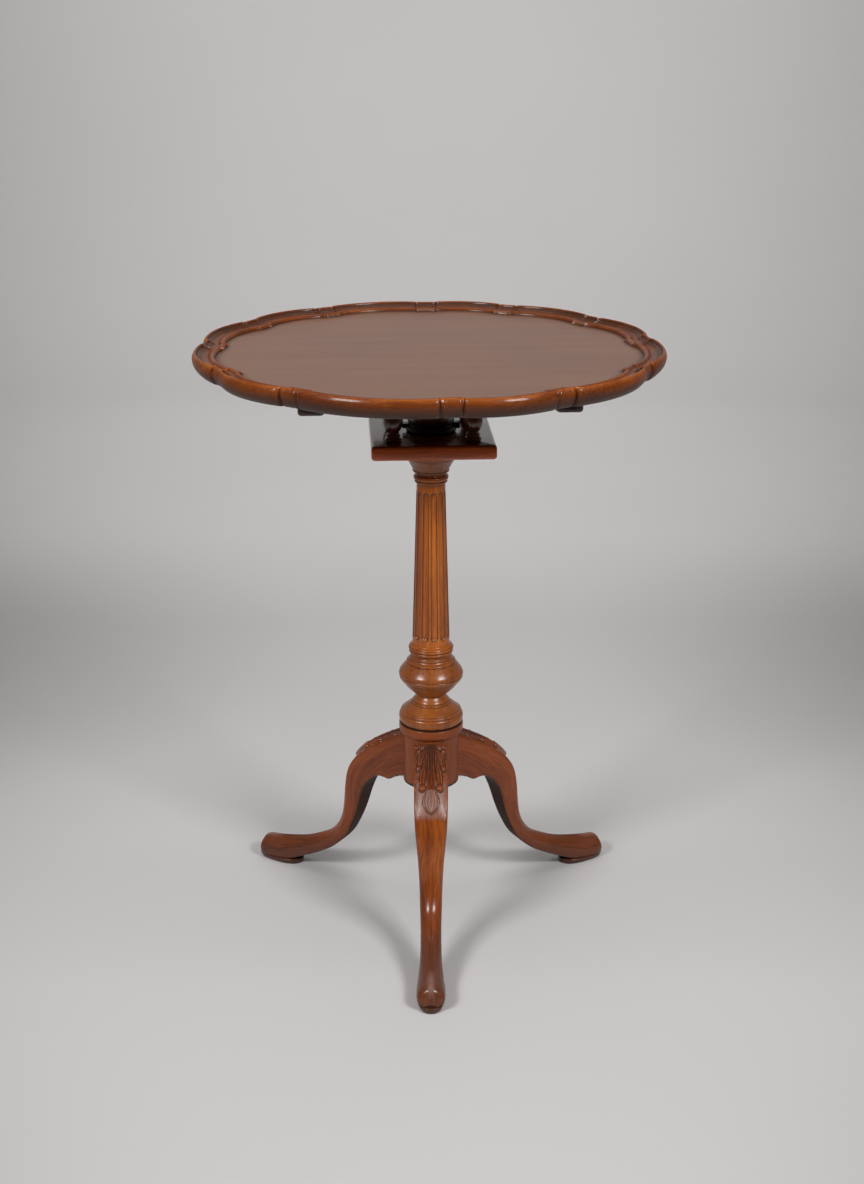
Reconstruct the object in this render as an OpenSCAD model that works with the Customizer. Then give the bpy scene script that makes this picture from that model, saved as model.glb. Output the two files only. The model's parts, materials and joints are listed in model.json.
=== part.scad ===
// Tilt-top tripod table with a scalloped tray top, a turning birdcage under it,
// a fluted column and three cabriole legs with pad feet.
// Origin: on the floor, on the column's axis. +Z is up and the front leg points along -Y.

/* [Overall] */
// Height of the top's rim above the floor
table_h = 720; // [690:1:760]
// Width of the top across its lobes
top_d = 540; // [500:1:560]
// How far the top is set to the left of the column's axis
top_shift = 2; // [0:0.5:4]
// How far the cage and the top are turned on the column
cage_turn = 3.2; // [-30:0.1:30]

/* [Tray top] */
// Thickness of the top at its rim
rim_t = 22; // [19:0.5:25]
// Depth of the tray below the rim
tray_depth = 8; // [5:0.5:9]
// Width of the carved moulding
rim_w = 28; // [22:1:34]
// Depth of the notches in the edge
notch_depth = 8.5; // [6:0.5:10]

/* [Battens] */
// Distance of each batten's middle from the column's axis
batten_x = 136; // [130:1:150]
// Length of a batten
batten_l = 406; // [380:1:420]
// Width of a batten
batten_w = 28; // [24:1:32]
// Depth of a batten at its middle
batten_t = 20.5; // [19:0.5:24]

/* [Birdcage] */
// Side of the square blocks
block_w = 142; // [134:0.5:146]
// Thickness of the lower block
lower_t = 17; // [15:0.5:20]
// Thickness of the upper block
upper_t = 18; // [17:0.5:19]
// Clear height between the two blocks
cage_gap = 61.2; // [58:0.1:66]
// Radius of the two turned pivots
pivot_r = 6; // [5:0.5:7]
// Distance of each small post from the cage's middle lines
post_at = 45.5; // [42:0.5:48]

/* [Column] */
// Height of the hub's top, where the column stands
hub_top = 252; // [250:1:256]
// Number of flutes in the shaft
flutes = 12; // [8:1:14]
// Depth of a flute
flute_depth = 1.8; // [1:0.1:2.5]

/* [Legs] */
// Reach of the feet from the column's axis
foot_reach = 263; // [255:1:265]
// Width of a leg at the hub
leg_w = 41.6; // [38:0.1:43]
// Width of a pad foot
pad_w = 35; // [32:1:37]
// Thickness of a pad foot
pad_t = 7; // [5:0.5:9]

/* [Catch] */
// How far the bolt travels
bolt_throw = 8; // [5:0.5:8]

/* [Hidden] */
$fn = 96;

// Clearances
run = 0.05;       // radial clearance of a pivot in its bore
air = 0.3;        // gap between pieces that move on each other
fit = 0.1;        // slack of a joint that is glued or wedged
eps = 0.01;
deep = 400;       // longer than any cut

// Directions of the notches in the top's edge. The lobes between them were set out by eye.
notches = [-88, -60, -27, 7, 36, 64, 88, 118, 144, 173, 205, 233];

// Heights, from the top down
tray_under = table_h - rim_t;
upper_top = tray_under - air;
upper_bottom = upper_top - upper_t;
lower_top = upper_bottom - cage_gap;
lower_bottom = lower_top - lower_t;
shoulder_z = lower_bottom - air;
pivot_z = upper_top - upper_t / 2;
pivot_y = -(block_w - upper_t) / 2;

// Column and cage fits
spindle_r = 20;
pin_r = 12;
pin_top = upper_bottom + 9.3;
tenon_r = 16;
tenon_bottom = hub_top - 52;
collar_r = 29.5;
collar_t = 14;
wedge_w = 9;
wedge_l = 67;
post_tenon_r = 5;
post_tenon_l = 10;
upper_l = 2 * (batten_x - batten_w / 2) - 1;

// Hub and leg joints
hub_r = 34.6;
hub_bottom = 175;
tail_in = 21.6;
tail_narrow = 16;
tail_wide = 23;
tail_top = 228;
leg_azimuths = [-90, 30, 150];
leg_heel = [50, 166];
arm_r = 34;
arm_l = 15;
arm_slope = atan2(hub_bottom - leg_heel[1], leg_heel[0] - arm_r);
brace_t = 2;

// Catch
bolt_w = 12;
bolt_t = 6.5;
bolt_z = tray_under - 9.7;
bolt_l = 36;
bolt_y = block_w / 2 + 3.2;
case_y = bolt_y + 6;
case_l = 36;
plate_t = 1.5;
keeper_t = 1.2;
keeper_h = 11.6;
knob_y = bolt_y + 24;
catch_screw_x = 12.5;
catch_screw_ys = [case_y + 5, case_y + case_l - 5];
keeper_screw_x = 11;
batten_screw_ys = [-150, 40, 150];
batten_screw_r = 2;
small_screw_r = 1;

mahogany = [0.42, 0.19, 0.09];
dark_mahogany = [0.25, 0.11, 0.06];
brass = [0.78, 0.6, 0.3];
iron = [0.2, 0.19, 0.18];
steel = [0.55, 0.55, 0.56];

// ---- outlines -------------------------------------------------------------

// One point of the smooth curve through a, b, c and d, at the share t of the way from b to c.
function between(a, b, c, d, t) =
    0.5 * (2 * b + (c - a) * t + (2 * a - 5 * b + 4 * c - d) * t * t
           + (3 * b - a - 3 * c + d) * t * t * t);

// A smooth curve through the points p, with n steps between each two of them.
function smooth(p, n = 4) =
    let (last = len(p) - 1)
    [for (i = [0 : last - 1], k = [0 : n - 1])
        between(p[max(i - 1, 0)], p[i], p[i + 1], p[min(i + 2, last)], k / n),
     p[last]];

// A half-round bead on a turning of radius r, from z0 to z1, standing out by out.
function bead(r, z0, z1, out, n = 6) =
    [for (i = [0 : n])
        let (a = -90 + 180 * i / n)
        [r + out * cos(a), (z0 + z1) / 2 + (z1 - z0) / 2 * sin(a)]];

// The edge of the top, moved in by inset: a long lobe from each notch to the next, and in each notch a
// small bump that is set back.
module piecrust(inset = 0) {
    apex = top_d / 2 - inset;
    heel = apex - 4.5;
    notch = apex - notch_depth;
    bump = apex - 6.8;
    bump_half = 3;
    bump_c = arc_centre(bump, notch, bump_half + 0.3);
    circle(r = notch);
    for (i = [0 : len(notches) - 1]) {
        next = i < len(notches) - 1 ? notches[i + 1] : notches[0] + 360;
        half = (next - notches[i]) / 2 - bump_half;
        lobe_c = arc_centre(apex, heel, half);
        rotate([0, 0, notches[i]]) translate([bump_c, 0]) circle(r = bump - bump_c);
        rotate([0, 0, (notches[i] + next) / 2]) intersection() {
            translate([lobe_c, 0]) circle(r = apex - lobe_c);
            polygon([[0, 0], deep * [cos(half), -sin(half)], deep * [cos(half), sin(half)]]);
        }
    }
}

// Distance from the middle to the centre of an arc that peaks at crest and falls to end at half its angle.
function arc_centre(crest, end, half) = (crest * crest - end * end) / (2 * (crest - end * cos(half)));

// A bar of the piecrust outline from z0 to z1.
module crust_layer(z0, z1, inset) {
    translate([-top_shift, 0, z0]) linear_extrude(z1 - z0) piecrust(inset);
}

// A rectangle with round corners, centred.
module soft_rect(w, h, r) {
    square([w - 2 * r, h], center = true);
    square([w, h - 2 * r], center = true);
    for (x = [-1, 1], y = [-1, 1])
        translate([x * (w / 2 - r), y * (h / 2 - r)]) circle(r = r);
}

// A slot with round ends along X, centred.
module stadium(l, w) {
    square([l - w, w], center = true);
    for (x = [-1, 1]) translate([x * (l - w) / 2, 0]) circle(d = w);
}

// A board that is rounded along its front and back edges by ry and along its ends by rx.
module board(l, w, t, rx, ry) {
    intersection() {
        rotate([90, 0, 90]) linear_extrude(l, center = true) soft_rect(w, t, ry);
        rotate([90, 0, 0]) linear_extrude(w, center = true) soft_rect(l, t, rx);
    }
}

// Places its children in the frame of the cage and the top.
module on_cage() {
    rotate([0, 0, cage_turn]) children();
}

// A screw along +Z with its head's top face at z = 0 and its point at z = length.
module screw(r, length, head_r, head_t) {
    translate([0, 0, -head_t]) difference() {
        cylinder(r = head_r, h = head_t);
        translate([0, 0, head_t * 0.2]) cube([2 * head_r + 1, head_r * 0.3, head_t * 0.4 + eps], center = true);
    }
    cylinder(r = r, h = length * 0.75);
    translate([0, 0, length * 0.75]) cylinder(r1 = r, r2 = r * 0.2, h = length * 0.25);
}

// ---- pedestal -------------------------------------------------------------

hub_profile = concat(
    [[0, hub_bottom], [hub_r, hub_bottom], [hub_r, hub_top - 14]],
    smooth([[35.6, hub_top - 13.6], [38.2, hub_top - 11.4], [39.3, hub_top - 8.6]]),
    [[39.3, hub_top - 1.4], [38.4, hub_top], [0, hub_top]]);

// Outline of the dovetail on a leg, in plan, along +X.
module tail_plan(slack) {
    polygon([[hub_r + 2, -tail_narrow / 2 - slack], [hub_r + 2, tail_narrow / 2 + slack],
             [hub_r - 1, tail_narrow / 2 + slack], [tail_in - slack, tail_wide / 2 + slack],
             [tail_in - slack, -tail_wide / 2 - slack], [hub_r - 1, -tail_narrow / 2 - slack]]);
}

module hub() {
    color(mahogany) difference() {
        rotate_extrude() polygon(hub_profile);
        translate([0, 0, tenon_bottom - fit]) cylinder(r = tenon_r + run, h = deep);
        for (a = leg_azimuths)
            rotate([0, 0, a]) translate([0, 0, hub_bottom - 1])
                linear_extrude(tail_top + fit - hub_bottom + 1) tail_plan(fit);
        brace_holes();
    }
}

// Upper and lower edges of a leg seen from the side, as distance from the axis and height.
leg_upper = smooth([[24, 236], [51, 224], [72, 211], [94, 195], [111, 173], [118, 150], [124, 117],
                    [131, 88], [145, 67], [168, 53], [190, 44], [213, 38.5], [236, 33.5], [250, 26], [257, 12]]);
leg_lower = smooth([[204, 7], [192, 14.5], [172, 24.5], [148, 38], [127, 58], [112, 82], [102, 107],
                    [93, 137], [82, 156.5], [66, 166.5], leg_heel]);

// Half the width of a leg in plan, and as it is seen from its end.
leg_plan = smooth([[20, leg_w / 2], [98, leg_w / 2], [112, 19.6], [124, 17.6], [140, 14.6],
                   [180, 12.4], [205, 13], [228, 15.4], [246, 14.8], [256, 10], [259.5, 0]]);
leg_end = smooth([[pad_w / 2, 0], [pad_w / 2, 28], [14.5, 48], [14.2, 80], [16, 108], [19, 138],
                  [leg_w / 2, 170], [leg_w / 2, 240]]);

// A closed outline from half of one, mirrored in its second or first coordinate.
function both(p, m) = concat(p, [for (i = [len(p) - 1 : -1 : 0]) [p[i][0] * m[0], p[i][1] * m[1]]]);

// A leg along +X, with its dovetail and its pad foot.
module leg() {
    difference() {
        intersection() {
            rotate([90, 0, 0]) linear_extrude(leg_w + 2, center = true)
                polygon(concat(leg_upper, [[256, 5], [206, 5]], leg_lower, [[arm_r, hub_bottom], [24, hub_bottom]]));
            linear_extrude(250) polygon(both(leg_plan, [1, -1]));
            rotate([90, 0, 90]) linear_extrude(300) polygon(both(leg_end, [-1, 1]));
        }
        translate([0, 0, hub_bottom - 1]) cylinder(r = hub_r + fit, h = 100);
    }
    translate([0, 0, hub_bottom]) intersection() {
        linear_extrude(tail_top - hub_bottom) tail_plan(0);
        cylinder(r = hub_r + 1, h = 100);
    }
    translate([foot_reach - 30, 0, 0]) linear_extrude(pad_t) stadium(60, pad_w);
}

module placed_leg(i) {
    color(mahogany) difference() {
        rotate([0, 0, leg_azimuths[i]]) leg();
        brace_holes();
    }
}

// Places its children on each arm of the brace, with X along the underside of the leg.
module at_arms() {
    for (a = leg_azimuths)
        rotate([0, 0, a]) translate([arm_r, 0, hub_bottom - fit]) rotate([0, arm_slope, 0]) children();
}

// The brace has three screws in the hub and one in each leg.
module at_brace_screws() {
    for (a = leg_azimuths) rotate([0, 0, a + 60]) translate([25, 0, hub_bottom - brace_t - fit]) children();
    at_arms() translate([arm_l * 0.6, 0, -brace_t]) children();
}

module brace_holes() {
    at_brace_screws() translate([0, 0, -4]) cylinder(r = batten_screw_r + run, h = 20);
}

// Iron plate under the hub, with one arm bent down along the underside of each leg.
module brace_plate() {
    color(iron) difference() {
        union() {
            translate([0, 0, hub_bottom - brace_t - fit]) cylinder(r = arm_r, h = brace_t);
            at_arms() translate([0, -7, -brace_t]) cube([arm_l, 14, brace_t]);
        }
        brace_holes();
    }
}

module brace_screws() {
    color(steel) at_brace_screws() screw(batten_screw_r, 15, 4, 2);
}

// Turned profile of the column, from the tenon in the hub to the pin in the upper block.
shaft_bottom = hub_top + 114;
shaft_top = shoulder_z - 48.2;
column_base = concat(
    [[0, tenon_bottom], [tenon_r, tenon_bottom], [tenon_r, hub_top], [37.4, hub_top], [37.4, hub_top + 1.6]],
    bead(37, hub_top + 1.6, hub_top + 12.8, 2.4),
    [[36.8, hub_top + 13.3], [37.2, hub_top + 14], [36.6, hub_top + 15.6], [35.2, hub_top + 16.2]],
    smooth([[34.6, hub_top + 16.8], [31.8, hub_top + 19.4], [28.2, hub_top + 22.2], [25, hub_top + 24.6]]),
    [[23.4, hub_top + 26.4], [22.2, hub_top + 27.4]],
    smooth([[22, hub_top + 28], [21, hub_top + 30], [19, hub_top + 32.8], [17.5, hub_top + 35.4]]),
    smooth([[17.5, hub_top + 36.2], [21, hub_top + 39], [26, hub_top + 43.4], [30.6, hub_top + 48.2],
            [33.4, hub_top + 52.4]]),
    [[34, hub_top + 53]],
    smooth([[35.2, hub_top + 54], [37, hub_top + 56.4], [38.6, hub_top + 59.4], [38.7, hub_top + 61.4]]),
    [[38, hub_top + 62.2]],
    smooth([[39, hub_top + 63], [39.2, hub_top + 64.4], [38, hub_top + 67.6], [35, hub_top + 72],
            [31.8, hub_top + 75.8], [30, hub_top + 77.8]]),
    [[29.4, hub_top + 78.6], [29.9, hub_top + 79.4], [29.6, hub_top + 80.8]],
    smooth([[28.6, hub_top + 81.4], [26.8, hub_top + 82.6], [25.8, hub_top + 84]]),
    [[25.4, hub_top + 84.8], [25.6, hub_top + 86.2], [24.2, hub_top + 87.4], [23.9, hub_top + 89],
     [24.6, hub_top + 90.8], [26.2, hub_top + 91.8], [26.8, hub_top + 93.2], [26.4, hub_top + 94.8]],
    bead(25.6, hub_top + 95.6, hub_top + 99, 1.7),
    smooth([[26, hub_top + 99.8], [24.4, hub_top + 101], [23, hub_top + 102.2], [22.4, hub_top + 104],
            [22.3, shaft_bottom]]));
column_cap = concat(
    [[17, shaft_top], [16.9, shaft_top + 4.4], [18.2, shaft_top + 5.7]],
    bead(18.4, shaft_top + 6.1, shaft_top + 10.4, 2.3),
    bead(18.6, shaft_top + 11.2, shaft_top + 14.6, 1.7),
    [[18.1, shaft_top + 15.1], [18.1, shaft_top + 15.8]],
    bead(18.2, shaft_top + 16.2, shaft_top + 22.2, 2.4),
    [[18.7, shaft_top + 22.6], [18.7, shaft_top + 23.4]],
    smooth([[19.6, shaft_top + 24.2], [22.6, shaft_top + 27.2], [26, shaft_top + 30.4], [28.4, shaft_top + 32.6]]),
    [[29.4, shaft_top + 33.2], [29.6, shaft_top + 35.2], [30.6, shaft_top + 36]],
    smooth([[31.2, shaft_top + 38], [32.2, shaft_top + 42], [32.6, shaft_top + 45.6]]),
    [[32.6, shoulder_z], [spindle_r, shoulder_z], [spindle_r, upper_bottom - air],
     [pin_r, upper_bottom - air], [pin_r, pin_top], [0, pin_top]]);

// One round-ended flute, cut along the shaft's taper at azimuth 0.
module flute_cutter() {
    cut_r = 4.3;
    low = [22.3 + cut_r - flute_depth, shaft_bottom + 1];
    high = [17 + cut_r - flute_depth, shaft_top - 9];
    run_l = norm(high - low);
    lean = atan2(high[0] - low[0], high[1] - low[1]);
    translate([low[0], 0, low[1]]) rotate([0, lean, 0]) {
        cylinder(r = cut_r, h = run_l, $fn = 48);
        sphere(r = cut_r, $fn = 48);
        translate([0, 0, run_l]) sphere(r = cut_r, $fn = 48);
    }
}

module column() {
    ridge_phase = -94;
    color(mahogany) difference() {
        rotate_extrude() polygon(concat(column_base, column_cap));
        for (i = [0 : flutes - 1]) rotate([0, 0, ridge_phase + (i + 0.5) * 360 / flutes]) flute_cutter();
        wedge_slot();
    }
}

// The slot for the wedge, through the collar and the spindle, with some slack.
module wedge_slot() {
    translate([0, 0, lower_top + 4]) rotate([90, 0, 0])
        linear_extrude(wedge_w + 2 * fit, center = true) wedge_side(fit, wedge_l + 10);
}

module wedge_side(slack, l) {
    thin = 5;
    slope = 2 / wedge_l;
    polygon([[-l / 2, -slack], [l / 2, -slack], [l / 2, thin + slack + slope * (wedge_l + l) / 2],
             [-l / 2, thin + slack + slope * (wedge_l - l) / 2]]);
}

module cage_wedge() {
    color(dark_mahogany) translate([0, 0, lower_top + 4]) rotate([90, 0, 0])
        linear_extrude(wedge_w, center = true) wedge_side(0, wedge_l);
}

module cage_collar() {
    color(dark_mahogany) difference() {
        translate([0, 0, lower_top + air]) rotate_extrude() polygon(concat(
            [[spindle_r + fit, 0], [collar_r - 2, 0]],
            bead(collar_r - 2, 0.6, 8, 2),
            [[collar_r - 3.4, 8.6], [collar_r - 3.4, collar_t - 1.5], [collar_r - 5, collar_t],
             [spindle_r + fit, collar_t]]));
        wedge_slot();
    }
}

// ---- birdcage -------------------------------------------------------------

// Places its children at the four small posts.
module at_posts() {
    for (x = [-1, 1], y = [-1, 1]) translate([x * post_at, y * post_at, 0]) children();
}

module lower_block() {
    color(mahogany) on_cage() difference() {
        translate([0, 0, (lower_top + lower_bottom) / 2]) board(block_w, block_w, lower_t, 4, 4);
        translate([0, 0, lower_bottom - 1]) cylinder(r = spindle_r + run, h = lower_t + 2);
        at_posts() translate([0, 0, lower_top - post_tenon_l - fit]) cylinder(r = post_tenon_r + fit, h = 30);
    }
}

// A small vase-shaped post, with a round tenon at each end.
module post(x, y) {
    half = concat(
        [[0, -post_tenon_l], [post_tenon_r, -post_tenon_l], [post_tenon_r, 0], [8.6, 0]],
        bead(8.6, 0.2, 4.2, 1.2), [[7.2, 5]], bead(7.2, 5.4, 8.2, 1), [[6.6, 9], [6.4, 11]],
        smooth([[7.4, 13.5], [10.4, 19], [11.2, 25], [9.6, 33], [7, 41], [6, 45]]),
        bead(6.2, 46, 49, 1.2), [[6, 50.5], [7.4, 55]], bead(7.6, 55.4, 60, 1.2),
        [[8, cage_gap], [post_tenon_r, cage_gap], [post_tenon_r, cage_gap + post_tenon_l],
         [0, cage_gap + post_tenon_l]]);
    color(mahogany) on_cage() translate([x * post_at, y * post_at, lower_top])
        rotate_extrude() polygon(half);
}

// The upper block turns on the column's pin, and its two round pivots carry the top.
module upper_block() {
    mid = (upper_top + upper_bottom) / 2;
    color(mahogany) on_cage() difference() {
        union() {
            translate([0, 0, mid]) difference() {
                cube([upper_l, block_w, upper_t], center = true);
                // The front edge is rounded about the pivots' axis.
                translate([0, pivot_y - upper_t / 2, 0]) cube([upper_l + 1, upper_t, upper_t + 1], center = true);
            }
            translate([0, pivot_y, pivot_z]) rotate([0, 90, 0]) cylinder(d = upper_t, h = upper_l, center = true);
            translate([0, pivot_y, pivot_z]) rotate([0, 90, 0])
                cylinder(r = pivot_r, h = 2 * batten_x + batten_w - 1, center = true);
        }
        translate([0, 0, upper_bottom - 1]) cylinder(r = pin_r + run, h = pin_top - upper_bottom + 1.6);
        at_posts() translate([0, 0, upper_bottom - 20]) cylinder(r = post_tenon_r + fit, h = 20 + post_tenon_l + fit);
        translate([0, block_w / 2, bolt_z + bolt_t / 2])
            cube([bolt_w + 1, 18, bolt_t + 1], center = true);
        keeper_holes();
    }
}

module at_keeper_screws() {
    for (x = [-1, 1])
        translate([x * keeper_screw_x, block_w / 2 + keeper_t, bolt_z + bolt_t / 2]) rotate([90, 0, 0]) children();
}

module keeper_holes() {
    at_keeper_screws() translate([0, 0, -5]) cylinder(r = small_screw_r + run, h = 13.2, $fn = 32);
}

module keeper_plate() {
    color(brass) on_cage() difference() {
        translate([0, block_w / 2 + keeper_t / 2, bolt_z + bolt_t / 2])
            cube([32, keeper_t, keeper_h], center = true);
        translate([0, block_w / 2, bolt_z + bolt_t / 2]) cube([bolt_w + 1, 18, bolt_t + 1], center = true);
        keeper_holes();
    }
}

module keeper_screws() {
    color(brass) on_cage() at_keeper_screws() screw(small_screw_r, 8, 2, 0.8, $fn = 32);
}

// ---- top ------------------------------------------------------------------

module tray_top() {
    floor_z = table_h - tray_depth;
    color(mahogany) on_cage() difference() {
        union() {
            crust_layer(tray_under, tray_under + 2, 5);
            crust_layer(tray_under + 2, tray_under + 5.5, 1.8);
            crust_layer(tray_under + 5.5, table_h - 2.5, 0);
            crust_layer(table_h - 2.5, table_h, 1.2);
        }
        crust_layer(floor_z, table_h + 1, rim_w);
        crust_layer(table_h - 4, table_h + 1, rim_w * 0.6);
        crust_layer(table_h - 1.5, table_h + 1, rim_w * 0.42);
        at_batten_screws() translate([0, 0, -1]) cylinder(r = batten_screw_r + run, h = 21, $fn = 32);
        at_catch_screws() translate([0, 0, -1]) cylinder(r = small_screw_r + run, h = 9, $fn = 32);
    }
}

// Batten screws stand in counterbores, with their heads at z = 0 of this frame.
module at_batten_screws() {
    for (x = [-1, 1], y = batten_screw_ys) translate([x * batten_x, y, tray_under - 10.5]) children();
}

// The underside of a batten rises towards both of its ends.
batten_half = smooth([[0, -batten_t], [100, -batten_t], [140, -batten_t + 1.6], [180, -batten_t + 7],
                      [batten_l / 2 - 4, -batten_t + 11], [batten_l / 2, -batten_t + 14.5]]);

module batten(x) {
    color(mahogany) on_cage() difference() {
        translate([x * batten_x, 0, tray_under]) intersection() {
            rotate([90, 0, 90]) linear_extrude(batten_w, center = true)
                polygon(concat([[-batten_l / 2, 0]], [for (i = [len(batten_half) - 1 : -1 : 1])
                    [-batten_half[i][0], batten_half[i][1]]], batten_half, [[batten_l / 2, 0]]));
            rotate([0, 0, 90]) translate([0, 0, -batten_t - 1]) linear_extrude(batten_t + 2) stadium(batten_l, batten_w);
        }
        translate([0, pivot_y, pivot_z]) rotate([0, 90, 0]) cylinder(r = pivot_r + run, h = deep, center = true);
        at_batten_screws() {
            translate([0, 0, -20]) cylinder(r = 4.6, h = 20, $fn = 48);
            translate([0, 0, -1]) cylinder(r = batten_screw_r + run, h = 21, $fn = 32);
        }
    }
}

module batten_screws() {
    color(steel) on_cage() at_batten_screws() screw(batten_screw_r, 18.5, 4.3, 2.4);
}

// ---- catch ----------------------------------------------------------------

module at_catch_screws() {
    for (x = [-1, 1], y = catch_screw_ys) translate([x * catch_screw_x, y, tray_under - plate_t]) children();
}

module catch_case() {
    wall = 1.6;
    channel_w = bolt_w + 2 * air;
    case_bottom = bolt_z - air - wall;
    color(brass) on_cage() difference() {
        union() {
            translate([-16, case_y, tray_under - plate_t]) cube([32, case_l, plate_t]);
            translate([-channel_w / 2 - wall, case_y, case_bottom])
                cube([channel_w + 2 * wall, case_l, tray_under - case_bottom - eps]);
        }
        translate([-channel_w / 2, case_y - 1, bolt_z - air])
            cube([channel_w, case_l - wall + 1, tray_under - plate_t - bolt_z + air]);
        // The knob's slot, as long as the bolt's travel.
        translate([0, knob_y - bolt_throw / 2, bolt_z - 5]) rotate([0, 0, 90])
            linear_extrude(8) stadium(bolt_throw + 7, 7);
        at_catch_screws() translate([0, 0, -3]) cylinder(r = small_screw_r + run, h = 6, $fn = 32);
    }
}

// A bowed strip above the bolt, whose friction holds the bolt where it is put.
module catch_leaf() {
    leaf_l = 26;
    leaf_t = 0.4;
    low = bolt_z + bolt_t + run;
    rise = tray_under - plate_t - low - leaf_t;
    bow_r = (leaf_l * leaf_l / 4 + rise * rise) / (2 * rise);
    color(steel) on_cage() translate([0, case_y + 4 + leaf_l / 2, low + bow_r]) rotate([90, 0, 90])
        linear_extrude(8, center = true) intersection() {
            difference() {
                circle(r = bow_r, $fn = 360);
                circle(r = bow_r - leaf_t, $fn = 360);
            }
            translate([-leaf_l / 2, -bow_r - 1]) square([leaf_l, rise + leaf_t + 1]);
        }
}

module catch_screws() {
    color(brass) on_cage() at_catch_screws() screw(small_screw_r, 7.5, 2.2, 1, $fn = 32);
}

module catch_bolt() {
    color(brass) on_cage() difference() {
        translate([-bolt_w / 2, bolt_y, bolt_z]) cube([bolt_w, bolt_l, bolt_t]);
        // The nose is bevelled below.
        translate([-bolt_w, bolt_y - 2, bolt_z - 2]) rotate([-45, 0, 0]) translate([0, 0, -4])
            cube([2 * bolt_w, 8, 5]);
        translate([0, knob_y, bolt_z - 1]) cylinder(r = 2 + run, h = 5, $fn = 32);
    }
}

module catch_knob() {
    color(brass) on_cage() translate([0, knob_y, 0]) {
        translate([0, 0, bolt_z - 6]) cylinder(r = 2, h = 9.8, $fn = 48);
        translate([0, 0, bolt_z - 8.5]) rotate_extrude() polygon(concat([[0, -2.6]], bead(2.2, -2.6, 2.6, 2.6), [[0, 2.6]]));
    }
}

hub();
placed_leg(0);  // leg_front
placed_leg(1);  // leg_right
placed_leg(2);  // leg_left
brace_plate();
brace_screws();
column();
cage_collar();
cage_wedge();
lower_block();
post(-1, -1);  // post_front_left
post(1, -1);  // post_front_right
post(-1, 1);  // post_rear_left
post(1, 1);  // post_rear_right
upper_block();
keeper_plate();
keeper_screws();
tray_top();
batten(-1);  // batten_left
batten(1);  // batten_right
batten_screws();
catch_case();
catch_leaf();
catch_screws();
catch_bolt();
catch_knob();
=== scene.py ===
"""Looks of the tilt-top table: detailed meshes, materials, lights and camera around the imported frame.

Lengths in the shape code are millimetres; make_piece() turns them into Blender's metres.
"""
import json
import math

import bmesh
import bpy
import numpy as np
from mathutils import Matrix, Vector


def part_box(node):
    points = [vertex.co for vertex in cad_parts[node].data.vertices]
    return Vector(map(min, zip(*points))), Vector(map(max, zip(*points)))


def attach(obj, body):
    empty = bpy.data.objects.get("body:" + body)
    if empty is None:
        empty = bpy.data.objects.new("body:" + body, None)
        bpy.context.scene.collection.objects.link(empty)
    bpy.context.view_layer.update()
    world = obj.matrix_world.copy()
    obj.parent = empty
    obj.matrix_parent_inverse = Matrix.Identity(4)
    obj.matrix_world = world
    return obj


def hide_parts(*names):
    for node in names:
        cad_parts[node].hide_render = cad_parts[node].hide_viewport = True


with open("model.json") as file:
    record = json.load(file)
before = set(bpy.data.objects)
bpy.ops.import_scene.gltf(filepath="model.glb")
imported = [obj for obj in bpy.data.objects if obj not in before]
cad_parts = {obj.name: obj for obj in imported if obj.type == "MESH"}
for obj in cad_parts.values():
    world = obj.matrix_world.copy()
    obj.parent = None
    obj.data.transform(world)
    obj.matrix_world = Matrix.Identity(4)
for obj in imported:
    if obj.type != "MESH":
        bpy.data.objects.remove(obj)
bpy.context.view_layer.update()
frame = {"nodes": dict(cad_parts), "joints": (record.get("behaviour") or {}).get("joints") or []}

MM = 0.001
TURN = math.tau


def node_box(name):
    """Lowest and highest corner of a CAD node, in millimetres."""
    low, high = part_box(name)
    return np.array(low) / MM, np.array(high) / MM


def joint(name):
    """A joint's entry in the frame."""
    return next(j for j in frame["joints"] if j["name"] == name)


tilt_axis = joint("top_tilt")["axis"]
CAGE_TURN = math.atan2(tilt_axis[1], tilt_axis[0])

# ---- mesh helpers ----------------------------------------------------------


def turned(points, angle):
    """Points turned about the column's axis."""
    c, s = math.cos(angle), math.sin(angle)
    p = np.array(points, float)
    x, y = p[..., 0].copy(), p[..., 1].copy()
    p[..., 0], p[..., 1] = c * x - s * y, s * x + c * y
    return p


def smooth_line(points, steps=6):
    """A Catmull-Rom curve through the points, with so many steps between each two."""
    p = np.array(points, float)
    ends = np.vstack([2 * p[0] - p[1], p, 2 * p[-1] - p[-2]])
    out = []
    for i in range(len(p) - 1):
        a, b, c, d = ends[i : i + 4]
        for t in np.arange(steps) / steps:
            square, cube = 2 * a - 5 * b + 4 * c - d, 3 * b - a - 3 * c + d
            out.append(0.5 * (2 * b + (c - a) * t + square * t**2 + cube * t**3))
    out.append(p[-1])
    return np.array(out)


def soften(points, radius, steps=3, least_turn=14):
    """Rounds the corners of a profile with small arcs, so that light catches them."""
    p = [np.array(q, float) for q in points]
    out = [p[0]]
    for a, b, c in zip(p, p[1:], p[2:]):
        u, v = a - b, c - b
        lu, lv = np.linalg.norm(u), np.linalg.norm(v)
        if lu < 1e-6 or lv < 1e-6:
            continue
        turn = 180 - math.degrees(math.acos(np.clip(u @ v / lu / lv, -1, 1)))
        if turn < least_turn:
            out.append(b)
            continue
        cut = min(radius, 0.4 * lu, 0.4 * lv)
        p0, p1 = b + u / lu * cut, b + v / lv * cut
        for t in np.linspace(0, 1, steps + 1):
            out.append((1 - t) ** 2 * p0 + 2 * t * (1 - t) * b + t**2 * p1)
    out.append(p[-1])
    return np.array(out)


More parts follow.
